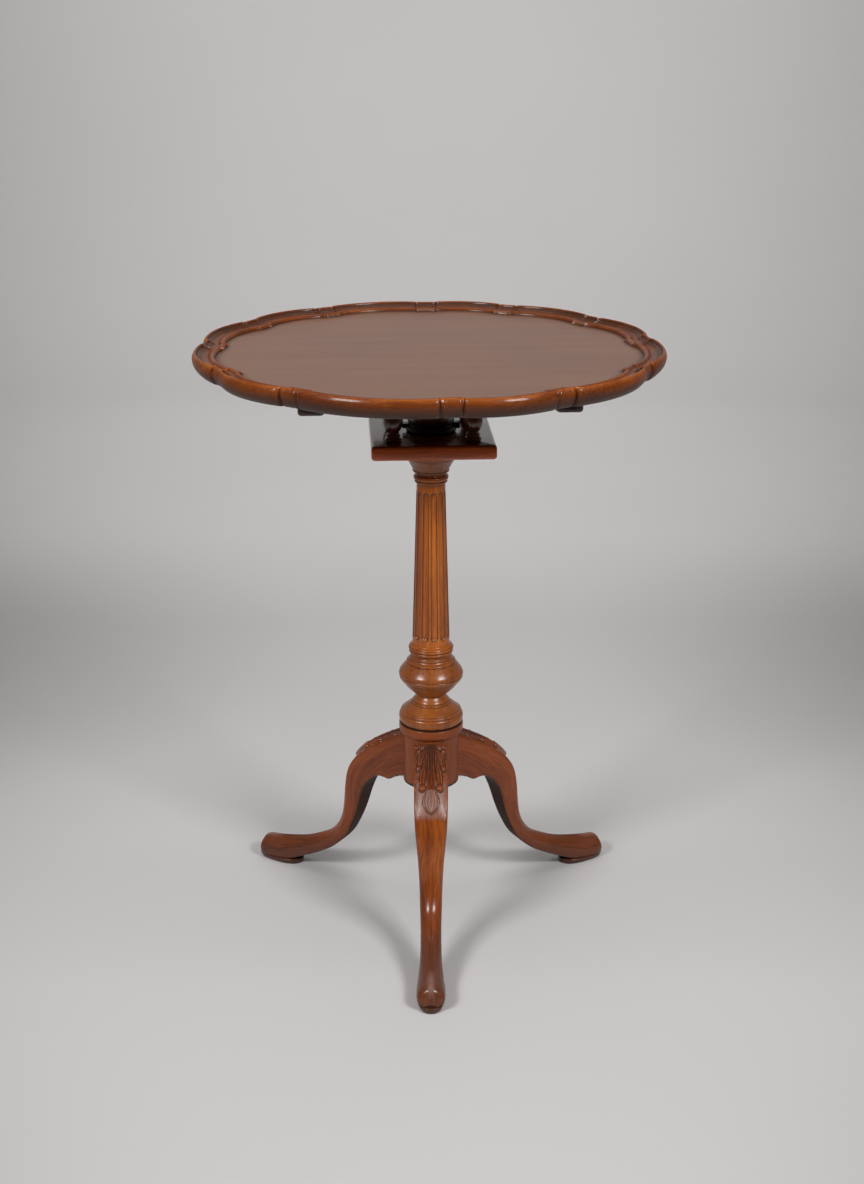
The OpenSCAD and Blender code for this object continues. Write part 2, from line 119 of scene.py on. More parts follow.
def refine(points, step, low=-1e9, high=1e9):
    """Splits the long stretches of a profile between two heights."""
    out = [points[0]]
    for a, b in zip(points, points[1:]):
        n = 1
        if max(a[1], b[1]) > low and min(a[1], b[1]) < high:
            n = max(1, math.ceil(np.linalg.norm(b - a) / step))
        out.extend(a + (b - a) * k / n for k in range(1, n + 1))
    return np.array(out)


def arc(centre, radius, start, end, steps=8):
    """Points of an arc in a profile, angles in degrees."""
    a = np.radians(np.linspace(start, end, steps + 1))
    ry = radius if np.isscalar(radius) else radius[1]
    rx = radius if np.isscalar(radius) else radius[0]
    return [(centre[0] + rx * math.cos(t), centre[1] + ry * math.sin(t)) for t in a]


def loft(rings, closed=False, end_cap=True):
    """Vertices and faces of a skin over rings of the same number of points; unless closed, it has caps."""
    rings = np.array(rings, float)
    count, size = rings.shape[:2]
    verts = rings.reshape(-1, 3)
    faces = []
    for i in range(count if closed else count - 1):
        a, b = i * size, (i + 1) % count * size
        for j in range(size):
            k = (j + 1) % size
            faces.append((a + j, a + k, b + k, b + j))
    extra = []
    for wanted, first in ((not closed, 0), (end_cap and not closed, (count - 1) * size)):
        if wanted:
            tip = len(verts) + len(extra)
            extra.append(verts[first : first + size].mean(0))
            for j in range(size):
                k = (j + 1) % size
                faces.append((first + j, tip, first + k) if first == 0 else (first + j, first + k, tip))
    if extra:
        verts = np.vstack([verts, extra])
    return verts, faces


def join(parts):
    """Several (vertices, faces) as one."""
    verts, faces, base = [], [], 0
    for v, f in parts:
        verts.append(np.array(v, float))
        faces.extend(tuple(i + base for i in face) for face in f)
        base += len(v)
    return np.vstack(verts), faces


def lathe(profile, segments=160, centre=(0, 0), closed=False):
    """A turning about a vertical axis, from a profile of (radius, height)."""
    a = np.arange(segments) / segments * TURN
    x, y = np.cos(a), np.sin(a)
    rings = []
    for r, z in profile:
        rings.append(np.column_stack([centre[0] + r * x, centre[1] + r * y, np.full(segments, z)]))
    return loft(rings, closed=closed)


def wear_of(mesh, reach=1.4, passes=3):
    """How hollow (below 0) or proud (above 0) the surface is at each vertex."""
    n = len(mesh.vertices)
    co = np.zeros(n * 3)
    mesh.vertices.foreach_get("co", co)
    co = co.reshape(-1, 3) / MM
    no = np.zeros(n * 3)
    mesh.vertex_normals.foreach_get("vector", no)
    no = no.reshape(-1, 3)
    ed = np.zeros(len(mesh.edges) * 2, np.int64)
    mesh.edges.foreach_get("vertices", ed)
    ed = ed.reshape(-1, 2)
    a, b = np.concatenate([ed[:, 0], ed[:, 1]]), np.concatenate([ed[:, 1], ed[:, 0]])
    d = co[b] - co[a]
    square = np.maximum((d**2).sum(1), 0.09)
    bend = 2 * (no[a] * d).sum(1) / square
    degree = np.maximum(np.bincount(a, minlength=n), 1)
    value = np.clip(-np.bincount(a, bend, minlength=n) / degree * reach, -1.5, 1.5)
    for _ in range(passes):
        value = 0.4 * value + 0.6 * np.bincount(a, value[b], minlength=n) / degree
    return np.clip(value, -1, 1)


def make_piece(name, shape, material, body, stands_for=(), angle=0.0, extra=None, sharp=38):
    """A mesh object from (vertices, faces) in millimetres, riding on a body and standing for CAD nodes."""
    verts, faces = shape
    mesh = bpy.data.meshes.new(name)
    mesh.from_pydata((np.array(verts) * MM).tolist(), [], faces)
    bm = bmesh.new()
    bm.from_mesh(mesh)
    bmesh.ops.recalc_face_normals(bm, faces=bm.faces)
    bm.to_mesh(mesh)
    bm.free()
    mesh.shade_smooth()
    if sharp:
        mesh.set_sharp_from_angle(angle=math.radians(sharp))
    mesh.attributes.new("wear", "FLOAT", "POINT").data.foreach_set("value", wear_of(mesh).astype(np.float32))
    for key, value in (extra or {}).items():
        value = np.asarray(value, np.float32)
        if value.ndim == 2:
            mesh.attributes.new(key, "FLOAT_VECTOR", "POINT").data.foreach_set("vector", value.ravel())
        else:
            mesh.attributes.new(key, "FLOAT", "POINT").data.foreach_set("value", value)
    mesh.materials.append(material)
    obj = bpy.data.objects.new(name, mesh)
    bpy.context.scene.collection.objects.link(obj)
    obj.rotation_euler = (0, 0, angle)
    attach(obj, body)
    if stands_for:
        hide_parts(*stands_for)
    return obj


# ---- materials -------------------------------------------------------------


class Nodes:
    """A short way to build a node tree."""

    def __init__(self, name):
        self.material = bpy.data.materials.new(name)
        self.material.use_nodes = True
        self.tree = self.material.node_tree
        self.shader = self.tree.nodes["Principled BSDF"]

    def add(self, kind, inputs=None, **settings):
        node = self.tree.nodes.new(kind)
        for key, value in settings.items():
            setattr(node, key, value)
        for key, value in (inputs or {}).items():
            self.put(node.inputs[key], value)
        return node

    def put(self, socket, value):
        if isinstance(value, bpy.types.NodeSocket):
            self.tree.links.new(value, socket)
        elif isinstance(value, bpy.types.Node):
            self.tree.links.new(value.outputs[0], socket)
        else:
            socket.default_value = value

    def math(self, operation, a, b=0.0, clamp=False):
        node = self.add("ShaderNodeMath", operation=operation, use_clamp=clamp)
        self.put(node.inputs[0], a)
        self.put(node.inputs[1], b)
        return node.outputs[0]

    def mix(self, factor, a, b):
        node = self.add("ShaderNodeMix", data_type="RGBA", clamp_factor=True)
        self.put(node.inputs["Factor"], factor)
        self.put(node.inputs[6], a)
        self.put(node.inputs[7], b)
        return node.outputs[2]

    def ramp(self, value, stops):
        node = self.add("ShaderNodeValToRGB", {"Fac": value})
        elements = node.color_ramp.elements
        while len(elements) < len(stops):
            elements.new(0.5)
        for element, (place, colour) in zip(elements, stops):
            element.position = place
            element.color = (*colour, 1) if len(colour) == 3 else colour
        return node.outputs[0]

    def span(self, value, low, high, to_low=0.0, to_high=1.0):
        node = self.add("ShaderNodeMapRange", {"Value": value, "From Min": low, "From Max": high,
                                               "To Min": to_low, "To Max": to_high})
        return node.outputs[0]

    def noise(self, vector, scale, detail=3.0, roughness=0.55):
        inputs = {"Vector": vector, "Scale": scale, "Detail": detail, "Roughness": roughness}
        return self.add("ShaderNodeTexNoise", inputs).outputs[0]

    def attribute(self, name, output="Fac"):
        return self.add("ShaderNodeAttribute", attribute_name=name).outputs[output]


WAX = (0.018, 0.007, 0.004)
# Colours for dirt and painted shade, for the punched ground, partly a painted sheen, and for worn raw wood
# and painted highlights.
SHADE_AND_GRIME = (0.044, 0.021, 0.014, 1)
PUNCHED_GROUND_SHEEN = (0.29, 0.17, 0.135, 1)
BARE_AND_LIT_WOOD = [(0.0, (0.07, 0.013, 0.003)), (0.45, (0.24, 0.052, 0.007)), (1.0, (0.46, 0.13, 0.016))]


def wood(name, light, mid, dark, turn=(0, 0, 0), roughness=0.3, coat=0.35, coat_roughness=0.12,
         ground=False, offset=(0, 0, 0), soot=0.92, rub=0.35, shine=0.3, stripe=0.42, cloud=0.3):
    """Mahogany with its grain along local X after turn: bands, streaks, open pores, wax in the hollows.

    The attribute "rubbed" goes from -1, grimy or in painted shade, to 1, worn to the raw wood or given a
    painted highlight. With ground, "ground" says where the surface is pale and punched, partly a painted
    sheen, and "grain" gives the place that the grain is drawn from.
    """
    n = Nodes(name)
    place = n.add("ShaderNodeTexCoord").outputs["Object"]
    grain = n.attribute("grain", "Vector") if ground else place
    along = n.add("ShaderNodeMapping", {"Vector": grain, "Rotation": turn, "Location": offset})
    wobble = n.noise(along, 9.0, 2.0)
    wander = n.add("ShaderNodeVectorMath", {0: (0, 0.02, 0.02)}, operation="SCALE")
    n.put(wander.inputs["Scale"], wobble)
    bent = n.add("ShaderNodeVectorMath", {0: along, 1: wander}, operation="ADD").outputs[0]

    def stretched(long, cross):
        return n.add("ShaderNodeMapping", {"Vector": bent, "Scale": (long, cross, cross)})

    bands = n.noise(stretched(3.2, 46), 1.0, 4.0, 0.6)
    streaks = n.noise(stretched(14, 520), 1.0, 3.0, 0.6)
    clouds = n.noise(along, 6.0, 2.0)
    pores = n.noise(stretched(170, 2300), 1.0, 2.0, 0.5)
    blend = n.math("ADD", n.math("MULTIPLY", bands, 0.5), n.math("MULTIPLY", streaks, stripe))
    blend = n.math("ADD", blend, n.math("MULTIPLY", clouds, cloud))
    tone = n.span(blend, 0.38, 0.8)
    colour = n.ramp(tone, [(0.0, dark), (0.45, mid), (1.0, light)])
    pits = n.span(pores, 0.60, 0.70)
    colour = n.mix(n.math("MULTIPLY", pits, 0.45), colour, (*WAX, 1))
    wear = n.attribute("wear")
    hollow = n.span(wear, -0.04, -0.4)
    proud = n.span(wear, 0.26, 0.8)
    flecks = n.span(n.noise(place, 420.0, 2.0), 0.44, 0.6)
    colour = n.mix(n.math("MULTIPLY", hollow, soot), colour, (*WAX, 1))
    colour = n.mix(n.math("MULTIPLY", n.math("MULTIPLY", proud, flecks), rub), colour,
                   (*[min(1, c * 2.0 + 0.03) for c in light], 1))
    rough = n.math("ADD", n.math("MULTIPLY", streaks, 0.12), roughness - 0.06)
    rough = n.math("ADD", rough, n.math("MULTIPLY", hollow, 0.25))
    height = n.math("ADD", n.math("MULTIPLY", pits, -0.5), n.math("MULTIPLY", streaks, 0.35))
    wear_and_painted_light = n.attribute("wear_and_painted_light")
    bare_and_lit = n.ramp(tone, BARE_AND_LIT_WOOD)
    # Above 0 the colour turns to raw wood, as wear and as a painted highlight; below 0 it darkens, as dirt
    # and as painted shade.
    colour = n.mix(n.span(wear_and_painted_light, 0, 1, 0, 0.9), colour, bare_and_lit)
    colour = n.mix(n.span(wear_and_painted_light, 0, -1, 0, 0.85), colour, SHADE_AND_GRIME)
    if ground:
        punched = n.attribute("ground")
        cells = n.add("ShaderNodeTexVoronoi", {"Vector": place, "Scale": 900.0}, feature="F1")
        dots = cells.outputs["Distance"]
        colour = n.mix(n.math("MULTIPLY", punched, 0.85), colour, PUNCHED_GROUND_SHEEN)
        rough = n.math("ADD", rough, n.math("MULTIPLY", punched, 0.06))
        height = n.math("ADD", height, n.math("MULTIPLY", n.math("MULTIPLY", dots, punched), 1.5))
    bump = n.add("ShaderNodeBump", {"Height": height, "Strength": 0.35, "Distance": 0.00025})
    n.put(n.shader.inputs["Base Color"], colour)
    n.put(n.shader.inputs["Roughness"], rough)
    n.put(n.shader.inputs["Normal"], bump)
    n.shader.inputs["Coat Weight"].default_value = coat
    n.shader.inputs["Coat Roughness"].default_value = coat_roughness
    n.shader.inputs["Specular IOR Level"].default_value = shine
    return n.material


def metal(name, colour, tarnish, roughness, metallic=1.0):
    """Aged metal: tarnish in clouds and hollows, and fine scratches."""
    n = Nodes(name)
    place = n.add("ShaderNodeTexCoord").outputs["Object"]
    clouds = n.noise(place, 160.0, 5.0, 0.65)
    scratches = n.noise(n.add("ShaderNodeMapping", {"Vector": place, "Scale": (300, 4200, 4200)}), 1.0, 2.0)
    wear = n.attribute("wear")
    dull = n.math("ADD", n.span(clouds, 0.42, 0.72), n.span(wear, -0.05, -0.5), clamp=True)
    n.put(n.shader.inputs["Base Color"], n.mix(n.math("MULTIPLY", dull, 0.75), (*colour, 1), (*tarnish, 1)))
    rough = n.math("ADD", n.math("MULTIPLY", dull, 0.25), n.math("MULTIPLY", scratches, 0.12))
    n.put(n.shader.inputs["Roughness"], n.math("ADD", rough, roughness))
    height = n.math("ADD", clouds, n.math("MULTIPLY", scratches, 0.4))
    bump = n.add("ShaderNodeBump", {"Height": height, "Strength": 0.25, "Distance": 0.0002})
    n.put(n.shader.inputs["Normal"], bump)
    n.shader.inputs["Metallic"].default_value = metallic
    return n.material


UPRIGHT = (0, math.radians(90), 0)
ACROSS = (0, 0, -CAGE_TURN)
top_wood = wood("top_mahogany", (0.205, 0.074, 0.026), (0.158, 0.055, 0.02), (0.112, 0.037, 0.014),
                turn=ACROSS, roughness=0.36, coat=0.25, coat_roughness=0.2)
rim_wood = wood("rim_mahogany", (0.27, 0.064, 0.007), (0.14, 0.03, 0.004), (0.055, 0.011, 0.003),
                turn=ACROSS, roughness=0.42, coat=0.25, coat_roughness=0.14, soot=0.9, rub=1.0,
                shine=0.1)
column_wood = wood("column_mahogany", (0.6, 0.17, 0.014), (0.37, 0.086, 0.009), (0.14, 0.028, 0.005),
                   turn=UPRIGHT, roughness=0.4, coat=0.8, coat_roughness=0.25, stripe=0.5, cloud=0.22,
                   shine=0.12)
hub_wood = wood("hub_mahogany", (0.29, 0.068, 0.011), (0.2, 0.041, 0.007), (0.11, 0.021, 0.005),
                turn=UPRIGHT, roughness=0.4, coat=0.25, coat_roughness=0.2, offset=(0.3, 0, 0), shine=0.2)
leg_wood = wood("leg_mahogany", (0.36, 0.086, 0.014), (0.22, 0.044, 0.007), (0.085, 0.016, 0.004),
                roughness=0.38, coat=0.5, coat_roughness=0.18, ground=True, soot=1.0, rub=0.9, shine=0.15,
                stripe=0.5, cloud=0.12)
# A darker, dull copy of the leg's wood for its underside: painted shade.
leg_under_shaded = wood("leg_underside_painted_shade", (0.1, 0.026, 0.008), (0.06, 0.015, 0.005), (0.03, 0.008, 0.003),
                 roughness=0.6, coat=0.0, shine=0.1)
cage_wood = wood("cage_mahogany", (0.58, 0.105, 0.012), (0.39, 0.064, 0.008), (0.2, 0.031, 0.004),
                 turn=ACROSS, roughness=0.22, coat=0.6, coat_roughness=0.06)
# A darker copy of the cage's wood for the block under the top: painted shade.
roof_wood_shaded = wood("cage_roof_mahogany_painted_shade", (0.2, 0.045, 0.01), (0.13, 0.028, 0.007), (0.07, 0.014, 0.004),
                 turn=ACROSS, roughness=0.35, coat=0.3, coat_roughness=0.15)
# Dark wood for the posts inside the cage: painted shade.
post_wood_shaded = wood("post_mahogany_painted_shade", (0.13, 0.028, 0.006), (0.08, 0.016, 0.004), (0.04, 0.008, 0.003),
                 turn=UPRIGHT, roughness=0.26, coat=0.8, offset=(0.7, 0, 0))
under_wood = wood("underside_mahogany", (0.13, 0.048, 0.02), (0.09, 0.032, 0.014), (0.05, 0.018, 0.009),
                  turn=ACROSS, roughness=0.55, coat=0.0)
batten_wood = wood("batten_mahogany", (0.05, 0.016, 0.008), (0.032, 0.01, 0.006), (0.02, 0.007, 0.004),
                   turn=(0, 0, math.radians(90) - CAGE_TURN), roughness=0.42, coat=0.2)
# Near-black wood for the collar and wedge inside the cage: painted shade.
cage_shade_wood = wood("cage_mahogany_painted_shade", (0.03, 0.012, 0.007), (0.02, 0.008, 0.005), (0.012, 0.005, 0.004),
                 turn=UPRIGHT, roughness=0.35, coat=0.2)
brass = metal("aged_brass", (0.62, 0.42, 0.16), (0.2, 0.12, 0.045), 0.24)
iron = metal("wrought_iron", (0.1, 0.095, 0.09), (0.05, 0.035, 0.028), 0.5, metallic=0.9)
steel = metal("dull_steel", (0.36, 0.35, 0.34), (0.14, 0.11, 0.09), 0.36)

# ---- tray top --------------------------------------------------------------

NOTCHES = np.radians([-88, -60, -27, 7, 36, 64, 88, 118, 144, 173, 205, 233])
BUMP_HALF = math.radians(3)
# Radius at the middle of a lobe, and how far inside it the lobe's ends, the bump's ends and its middle are.
APEX = 269.9
HEEL_IN, NOTCH_IN, BUMP_IN = 5.6, 10.0, 8.2
# Where the bump's edge starts to rise towards the lobe beside it, in radians from its middle.
RISE_AT = 0.0465
TOP_SHIFT = 2.0


def arc_radius(off, half, crest, end):
    """Distance from the middle to an arc that peaks at crest and falls to end at half its angle."""
    centre = (crest**2 - end**2) / (2 * (crest - end * math.cos(half)))
    bulge = crest - centre
    return centre * np.cos(off) + np.sqrt(np.maximum(bulge**2 - (centre * np.sin(off)) ** 2, 0))


def crust_outline():
    """Angles and radii round the edge: a long lobe from notch to notch and a small bump in each notch."""
    angles, radii = [], []
    ends = np.append(NOTCHES, NOTCHES[0] + TURN)
    for a0, a1 in zip(ends, ends[1:]):
        half = (a1 - a0) / 2 - BUMP_HALF
        lobe = np.concatenate([np.linspace(-half + 0.001, -half + 0.026, 7),
                               np.linspace(-half + 0.03, half - 0.03, 50),
                               np.linspace(half - 0.026, half - 0.001, 7)])
        bump = np.concatenate([np.linspace(-BUMP_HALF, -0.045, 10)[:-1], np.linspace(-0.045, 0.045, 25),
                               np.linspace(0.045, BUMP_HALF, 10)[1:]])
        high = arc_radius(lobe, half, APEX, APEX - HEEL_IN)
        worn = np.clip(1 - (half - np.abs(lobe)) / 0.009, 0, 1) ** 2 * 0.8
        low = arc_radius(bump, BUMP_HALF, APEX - BUMP_IN, APEX - NOTCH_IN)
        low = low + 0.9 * np.exp(-(((np.abs(bump) - 0.03) / 0.008) ** 2))
        step = np.clip((np.abs(bump) - RISE_AT) / (BUMP_HALF - RISE_AT), 0, 1)
        low = low + (NOTCH_IN - HEEL_IN - 0.8) * step
        angles += list(a0 + bump) + list((a0 + a1) / 2 + lobe)
        radii += list(low) + list(high - worn)
    return np.array(angles), np.array(radii)


def tray_top():
    """The top: a flat floor inside a moulded edge that follows the lobes."""
    low, high = node_box("tray_top")
    under, rim = low[2], high[2]
    floor = rim - 8
    # Inset from the edge and height against the rim: the full edge, the crest, the step, the cove and
    # the inner bead.
    edge = smooth_line([(10.5, under - rim), (7.6, under - rim + 0.5), (4.9, -19.0), (2.9, -16.4),
                        (1.1, -12.6), (0.2, -9.0), (0.0, -6.6), (0.4, -4.4)], 4)
    crest = smooth_line([(0.9, -3.2), (1.8, -1.5), (2.7, -0.4), (3.5, 0.0), (4.3, -0.3), (4.9, -1.2),
                         (5.3, -2.4)], 4)
    step = [(6.5, -3.4), (7.4, -3.7), (8.6, -3.6)]
    cove = smooth_line([(9.0, -4.3), (10.6, -5.6), (13.4, -6.5), (16.6, -6.7), (19.0, -6.2)], 4)
    bead = smooth_line([(19.6, -5.2), (21.0, -4.3), (22.8, -4.1), (24.4, -4.8), (25.6, -6.2),
                        (26.2, floor - rim)], 4)
    floor_shares = (0.995, 0.97, 0.92, 0.84, 0.72, 0.58, 0.42, 0.26, 0.1)
    under_shares = (0.98, 0.9, 0.75, 0.5, 0.2)
    line = np.vstack([edge, crest, step, cove, bead])
    line[:, 1] = np.minimum(line[:, 1], 0)
    angles, radii = crust_outline()
    even = radii.mean()
    rings = []
    for inset, z in line:
        share = 0.8 + 0.2 * np.clip((z + 22) / 8, 0, 1)
        r = even + (radii - even) * share - inset
        ring = [r * np.cos(angles), r * np.sin(angles), np.full(len(angles), rim + z)]
        rings.append(np.column_stack(ring))
    flat = rings[-1]
    for k in floor_shares:
        rings.append(np.column_stack([flat[:, :2] * k, np.full(len(flat), floor)]))
    sole = rings[0]
    for k in under_shares:
        rings.insert(0, np.column_stack([sole[:, :2] * k, np.full(len(sole), under)]))
    verts, faces = loft(rings)
    verts[:, 0] -= TOP_SHIFT
    # Darker underneath. On the edge: painted shade on its lower face and in the step behind it, and a worn
    # crest that is partly a painted highlight.
    outer = np.interp(line[:, 1], [-17, -12, -7, -3, -0.8], [-1.0, -0.8, -0.15, 0.1, 0.9])
    inner = np.interp(line[:, 0], [3.5, 4.6, 5.2, 8.6, 14, 20, 23, 26],
                      [0.9, 0.1, -0.7, -0.7, -0.3, 0, 0.1, -0.1])
    behind = np.arange(len(line)) > len(edge) + len(crest) / 2
    light_and_wear_marks = np.concatenate([np.full(len(under_shares), -0.5), np.where(behind, inner, outer),
                           np.zeros(len(floor_shares))])
    light_and_wear_marks = np.concatenate([np.repeat(light_and_wear_marks, len(angles)), [0, 0]])
    piece = make_piece("tray", (turned(verts, CAGE_TURN), faces), top_wood, "top", ["tray_top"],
                       extra={"wear_and_painted_light": light_and_wear_marks})
    piece.data.materials.append(rim_wood)
    piece.data.materials.append(under_wood)
    moulding = APEX - 33
    for poly in piece.data.polygons:
        c = poly.center / MM
        r = math.hypot(c.x, c.y)
        if c.z < under + 0.4:
            poly.material_index = 2
        elif r > moulding and (c.z > floor + 0.3 or r > moulding + 8):
            poly.material_index = 1


# ---- turned work -----------------------------------------------------------

hub_low, hub_high = node_box("hub")
column_top = node_box("column")[1][2]
lower_low, lower_high = node_box("lower_block")
cage_roof = node_box("upper_block")[0][2]
HUB_TOP = hub_high[2]
SHOULDER = lower_low[2] - 0.3
FLUTES = 12
# Half a flute's width as an angle, its depth as a share of the radius, and the angle of a ridge between two.
FLUTE_HALF = math.radians(11.2)
FLUTE_DEPTH = 0.12
RIDGE = math.radians(-94)


def torus(r, z0, z1, out, steps=10):
    """A half-round moulding that stands out from radius r."""
    return arc((r, (z0 + z1) / 2), (out, (z1 - z0) / 2), -90, 90, steps)


def column_profile():
    """The column's outline from the hub up: base turnings, tapered shaft, capital and the pin in the cage."""
    h = HUB_TOP
    base = [(14, h - 8), (34.6, h - 8), (34.6, h + 1.4)]
    base += torus(36.9, h + 1.6, h + 12.8, 2.4, 14)
    base += [(36.5, h + 13.2), (37.1, h + 13.6), (37.2, h + 14.4), (36.7, h + 15.5), (35.7, h + 16)]
    base += [(34.7, h + 16.2)]
    base += list(smooth_line([(34.6, h + 16.8), (31.8, h + 19.4), (28.2, h + 22.2), (25.0, h + 24.6)], 4))
    base += [(23.6, h + 25.2), (24.1, h + 26.2), (23.4, h + 27), (21.8, h + 27.3)]
    base += list(smooth_line([(22.2, h + 28), (21.2, h + 30), (19.0, h + 32.8), (17.5, h + 35.4)], 4))
    base += list(smooth_line([(17.3, h + 36.2), (21, h + 39), (26, h + 43.4), (30.6, h + 48.2),
                              (33.2, h + 52)], 4))
    base += [(33.6, h + 52.9), (34.2, h + 53.5)]
    base += list(smooth_line([(35.2, h + 54), (37.0, h + 56.4), (38.5, h + 59.2), (38.7, h + 61)], 4))
    base += [(38.3, h + 61.9), (37.6, h + 62.3)]
    base += list(smooth_line([(38.9, h + 62.9), (39.2, h + 64.4), (38.0, h + 67.6), (35, h + 72),
                              (31.8, h + 75.8), (30.0, h + 77.8)], 4))
    base += [(28.8, h + 78.4), (29.6, h + 78.9), (29.9, h + 79.8), (29.5, h + 80.8)]
    base += list(smooth_line([(28.6, h + 81.4), (26.8, h + 82.6), (25.8, h + 84)], 3))
    base += [(25.0, h + 84.5), (25.6, h + 85.1), (25.5, h + 86.2), (24.4, h + 86.9)]
    base += list(smooth_line([(24.1, h + 87.4), (23.8, h + 89), (24.5, h + 90.8)], 3))
    base += [(25.8, h + 91.4), (26.7, h + 92.3), (26.8, h + 93.6), (26.3, h + 94.7), (25.2, h + 95.2)]
    base += torus(25.6, h + 95.7, h + 98.9, 1.7, 8)
    base += [(25.5, h + 99.3)]
    base += list(smooth_line([(26.0, h + 99.8), (25.4, h + 100.6), (24.2, h + 101.3), (23.1, h + 102.3)], 3))
    base += [(22.5, h + 104), (22.4, h + 109), (22.3, h + 114)]
    top = SHOULDER
    neck = top - 48.2
    shaft = [(19.65, (h + 114 + neck) / 2), (17.0, neck), (16.9, neck + 0.8)]
    cap = [(16.9, neck + 3.2), (17.5, neck + 3.8)] + torus(18.1, neck + 4.2, neck + 6.6, 1.4, 6)
    cap += [(18.0, neck + 7)] + torus(18.3, neck + 7.4, neck + 13.2, 2.4, 10)
    cap += [(18.0, neck + 13.6), (17.7, neck + 14.6), (18.2, neck + 16), (20.2, neck + 17)]
    cap += [(21.4, neck + 17.6), (21.8, neck + 18.6), (21.5, neck + 19.6)]
    cap += list(smooth_line([(21.6, neck + 20.2), (22.8, neck + 23), (25.2, neck + 27.4),
                             (28.4, neck + 32.6)], 4))
    cap += [(29.4, neck + 33.2), (29.6, neck + 35), (30.5, neck + 36)]
    cap += list(smooth_line([(31.2, neck + 38), (32.2, neck + 42), (32.5, neck + 45.6)], 3))
    cap += [(32.6, top), (20, top), (20, column_top - 12), (12, column_top - 12), (12, column_top)]
    line = soften(base + shaft + cap, 0.3)
    return refine(line, 2.0, h + 105, neck)


def column():
    """The column, with round-ended flutes hollowed into its shaft."""
    low, high = HUB_TOP + 115.5, SHOULDER - 57.2
    profile = column_profile()
    extra = [low - k for k in np.linspace(0, 4.8, 9)] + [high + k for k in np.linspace(0, 5, 8)]
    heights, radii = profile[:, 1], profile[:, 0]
    shaft = (heights > low - 5) & (heights < high + 7)
    fill = np.array([(np.interp(z, heights[shaft], radii[shaft]), z) for z in extra])
    first = np.argmax(shaft)
    rows = np.vstack([profile[:first], sorted(np.vstack([profile[shaft], fill]).tolist(), key=lambda q: q[1]),
                      profile[first + shaft.sum():]])
    per_flute = 48
    segments = FLUTES * per_flute
    a = np.arange(segments) / segments * TURN
    off = (a % (TURN / FLUTES)) - TURN / FLUTES / 2
    # Painted shade: the seam over the hub black and the capital darker, as in the block's shadow. The base
    # turnings are darker too, and the plain shaft is left alone.
    light_and_wear_heights = [HUB_TOP + 1.4, HUB_TOP + 2, HUB_TOP + 94, HUB_TOP + 104,
                    high + 8, high + 12, high + 24, high + 27]
    light_and_wear_values = [-1, -0.52, -0.48, 0, 0, -0.3, -0.3, -0.5]
    rings, light_and_wear_marks = [], []
    for r, z in rows:
        radius = np.full(segments, r)
        ring_light_and_wear = np.full(segments, np.interp(z, light_and_wear_heights, light_and_wear_values))
        if low - 7 < z < high + 7:
            beyond = max(0.0, low - z, z - high)
            across = np.abs(off) / FLUTE_HALF
            share = np.sqrt(across**2 + (beyond / (FLUTE_HALF * r)) ** 2)
            hollow = np.sqrt(np.maximum(0, 1 - share**2)) ** 1.1
            radius -= FLUTE_DEPTH * r * hollow
            # Painted light in the flute bottoms and painted shade along their edges.
            ring_light_and_wear += 0.45 * hollow - 0.9 * np.exp(-(((share - 0.97) / 0.15) ** 2))
        light_and_wear_marks.append(ring_light_and_wear)
        ring = [radius * np.cos(a + RIDGE), radius * np.sin(a + RIDGE), np.full(segments, z)]
        rings.append(np.column_stack(ring))
    light_and_wear_marks = np.concatenate([np.ravel(light_and_wear_marks), [0, 0]])
    make_piece("fluted_column", loft(rings), column_wood, "pedestal", ["column"], sharp=50,
               extra={"wear_and_painted_light": light_and_wear_marks})


def hub():
    """The block that the legs join, with a moulded collar and painted shade in the seam over it."""
    low, top = hub_low[2], HUB_TOP
    profile = [(4, low), (33.6, low), (34.6, low + 1), (34.6, top - 15)]
    profile += list(smooth_line([(34.9, top - 14.2), (36.4, top - 13), (38.2, top - 11.6),
                                 (39.1, top - 9.6)], 3))
    profile += [(39.3, top - 8), (39.2, top - 1.4), (38.6, top - 0.5), (36, top - 0.4), (35.4, top - 0.1)]
    profile += [(30, top - 0.1)]
    verts, faces = lathe(soften(profile, 0.6), 192)
    # Painted shade: the hub's top, under the column's foot, turns black.
    seam = np.where(verts[:, 2] > top - 0.7, -1.0, 0.0)
    make_piece("hub_block", (verts, faces), hub_wood, "pedestal", ["hub"],
               extra={"wear_and_painted_light": seam})


def collar():
    """The turned ring round the column inside the cage."""
    low, high = node_box("cage_collar")
    b, t = low[2], high[2]
    profile = [(20.1, b), (27.8, b)] + arc((27.6, b + 3.6), (1.9, 3.5), -90, 90, 8)
    profile += [(26.2, b + 7.6), (25.9, b + 9.6), (26.8, b + 11)]
    profile += arc((25.6, t - 1.6), 1.6, 0, 90, 4) + [(20.1, t)]
    # The collar's near-black wood is painted shade.
    make_piece("collar_ring", lathe(soften(profile, 0.4), 128, closed=True), cage_shade_wood, "pedestal",
               ["cage_collar"])


